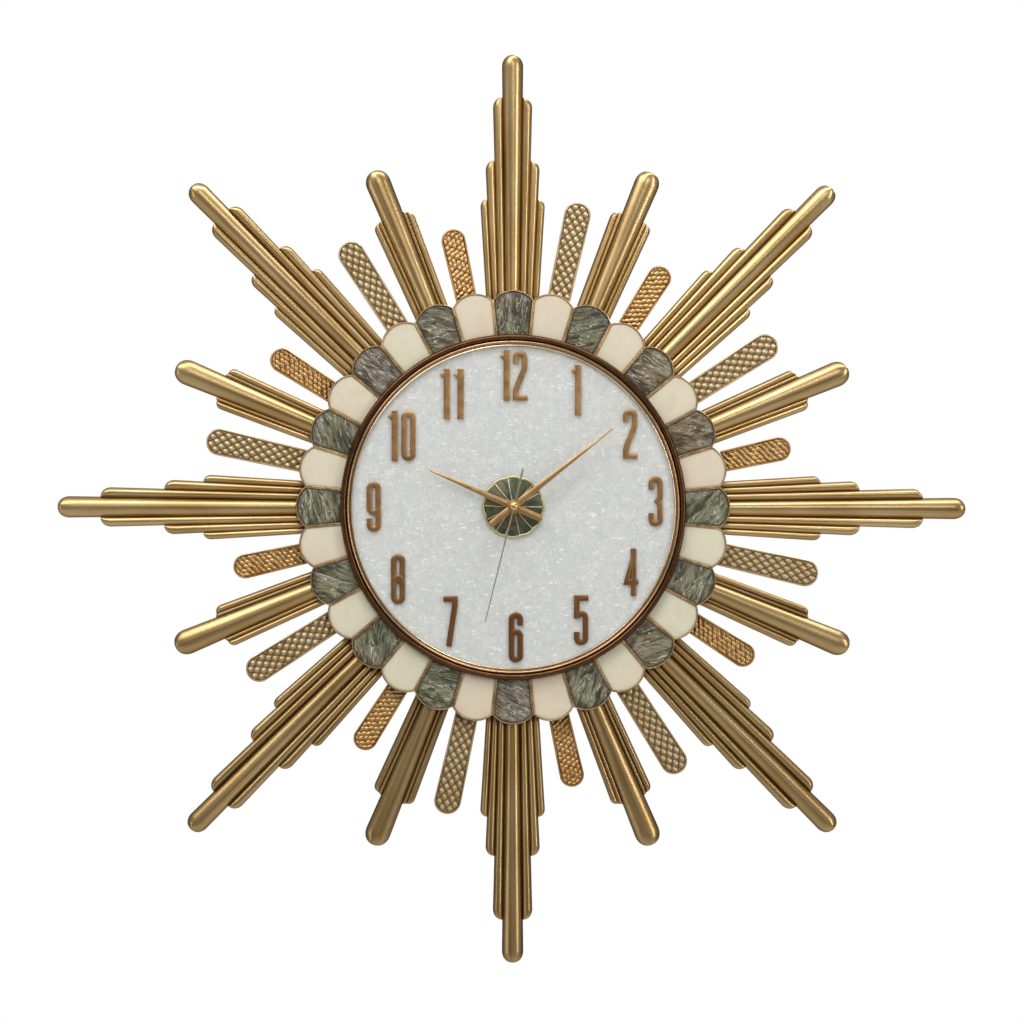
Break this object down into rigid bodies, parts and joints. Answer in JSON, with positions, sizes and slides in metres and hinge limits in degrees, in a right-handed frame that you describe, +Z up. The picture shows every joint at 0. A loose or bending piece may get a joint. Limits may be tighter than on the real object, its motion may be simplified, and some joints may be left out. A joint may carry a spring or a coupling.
{
  "type": "sunburst wall clock",
  "caption": "Round wall clock with a pearl dial, a bezel, a ring of inlaid petals and stepped brass rays; a battery movement turns its hands and it hangs from a keyhole.",
  "frame": {"origin": "on the dial's axis, in the wall plane: the flat rear face of the movement's cover", "axes": "+Z up to twelve o'clock, +X right and -Y out of the dial, as seen by somebody facing the clock"},
  "size_m": [0.6844, 0.035, 0.6844],
  "materials": {
    "fluted_brass": "satin antique brass, brushed along the flutes",
    "embossed_pale_brass": "pale brass with an embossed pattern",
    "embossed_copper_brass": "copper-toned brass with an embossed pattern",
    "black_steel": "matt black paint",
    "cloison_brass": "polished thin walls between the petals",
    "ivory_enamel": "smooth gloss, faintly mottled",
    "dark_shell": "polished streaked shell",
    "bronze_bezel": "polished dark bronze to copper",
    "pearl_dial": "crushed mother-of-pearl under lacquer",
    "green_enamel": "dark green enamel with brass lines",
    "zinc_steel": "zinc plated",
    "black_plastic": "moulded, fine texture",
    "white_nylon": "moulded",
    "green_board": "lacquered circuit board",
    "copper_winding": "enamelled copper wire",
    "soft_iron": "bright stamped iron",
    "battery_wrap": "printed plastic wrap on a metal can",
    "hand_brass": "polished brass"
  },
  "bodies": {
    "clock": {"fluted_ray_long_01": "fluted_brass", "fluted_ray_long_02": "fluted_brass", "fluted_ray_long_03": "fluted_brass", "fluted_ray_long_04": "fluted_brass", "fluted_ray_long_05": "fluted_brass", "fluted_ray_long_06": "fluted_brass", "fluted_ray_long_07": "fluted_brass", "fluted_ray_long_08": "fluted_brass", "textured_ray_long_01": "embossed_pale_brass", "textured_ray_long_02": "embossed_pale_brass", "textured_ray_long_03": "embossed_pale_brass", "textured_ray_long_04": "embossed_pale_brass", "textured_ray_long_05": "embossed_pale_brass", "textured_ray_long_06": "embossed_pale_brass", "textured_ray_long_07": "embossed_pale_brass", "textured_ray_long_08": "embossed_pale_brass", "fluted_ray_medium_01": "fluted_brass", "fluted_ray_medium_02": "fluted_brass", "fluted_ray_medium_03": "fluted_brass", "fluted_ray_medium_04": "fluted_brass", "fluted_ray_medium_05": "fluted_brass", "fluted_ray_medium_06": "fluted_brass", "fluted_ray_medium_07": "fluted_brass", "fluted_ray_medium_08": "fluted_brass", "textured_ray_short_01": "embossed_copper_brass", "textured_ray_short_02": "embossed_copper_brass", "textured_ray_short_03": "embossed_copper_brass", "textured_ray_short_04": "embossed_copper_brass", "textured_ray_short_05": "embossed_copper_brass", "textured_ray_short_06": "embossed_copper_brass", "textured_ray_short_07": "embossed_copper_brass", "textured_ray_short_08": "embossed_copper_brass", "back_pan": "black_steel", "petal_tray": "cloison_brass", "ivory_inlays": "ivory_enamel", "shell_inlays": "dark_shell", "bezel": "bronze_bezel", "dial_disc": "pearl_dial", "rosette": "green_enamel", "hex_nut": "zinc_steel", "movement_case": "black_plastic", "movement_cover": "black_plastic", "bearing_plate": "white_nylon", "circuit_board": "green_board", "coil": "copper_winding", "stator": "soft_iron", "contact_positive": "zinc_steel", "contact_negative": "zinc_steel"},
    "battery": {"battery": "battery_wrap"},
    "rotor": {"rotor": "soft_iron"},
    "intermediate": {"intermediate_wheel": "white_nylon"},
    "third": {"third_wheel": "white_nylon"},
    "second": {"second_wheel": "white_nylon", "second_hand": "hand_brass"},
    "minute": {"centre_wheel": "white_nylon", "minute_hand": "hand_brass"},
    "motion": {"minute_wheel": "white_nylon", "setting_knob": "black_plastic"},
    "hour": {"hour_wheel": "white_nylon", "hour_hand": "hand_brass"}
  },
  "joints": [
    {"name": "battery_slide", "type": "slide", "parent": "clock", "child": "battery", "axis": [0, 1, 0], "range_m": [0, 0.02]},
    {"name": "second_turn", "type": "hinge", "parent": "clock", "child": "second", "pos_m": [0, 0, 0], "axis": [0, 1, 0], "continuous": true},
    {"name": "minute_turn", "type": "hinge", "parent": "clock", "child": "minute", "pos_m": [0, 0, 0], "axis": [0, 1, 0], "continuous": true},
    {"name": "hour_turn", "type": "hinge", "parent": "clock", "child": "hour", "pos_m": [0, 0, 0], "axis": [0, 1, 0], "continuous": true},
    {"name": "motion_turn", "type": "hinge", "parent": "clock", "child": "motion", "pos_m": [0.0132, 0, 0], "axis": [0, 1, 0], "continuous": true},
    {"name": "third_turn", "type": "hinge", "parent": "clock", "child": "third", "pos_m": [-0.01224, 0, 0], "axis": [0, 1, 0], "continuous": true},
    {"name": "intermediate_turn", "type": "hinge", "parent": "clock", "child": "intermediate", "pos_m": [0.00208, 0, 0.01182], "axis": [0, 1, 0], "continuous": true},
    {"name": "rotor_turn", "type": "hinge", "parent": "clock", "child": "rotor", "pos_m": [0.00856, 0, 0.01556], "axis": [0, 1, 0], "continuous": true}
  ],
  "couplings": [
    {"joint": "intermediate_turn", "follows": "second_turn", "ratio": -5},
    {"joint": "rotor_turn", "follows": "second_turn", "ratio": 30},
    {"joint": "third_turn", "follows": "second_turn", "ratio": -0.13333},
    {"joint": "minute_turn", "follows": "second_turn", "ratio": 0.016667},
    {"joint": "motion_turn", "follows": "second_turn", "ratio": -0.0055556},
    {"joint": "hour_turn", "follows": "second_turn", "ratio": 0.0013889}
  ]
}
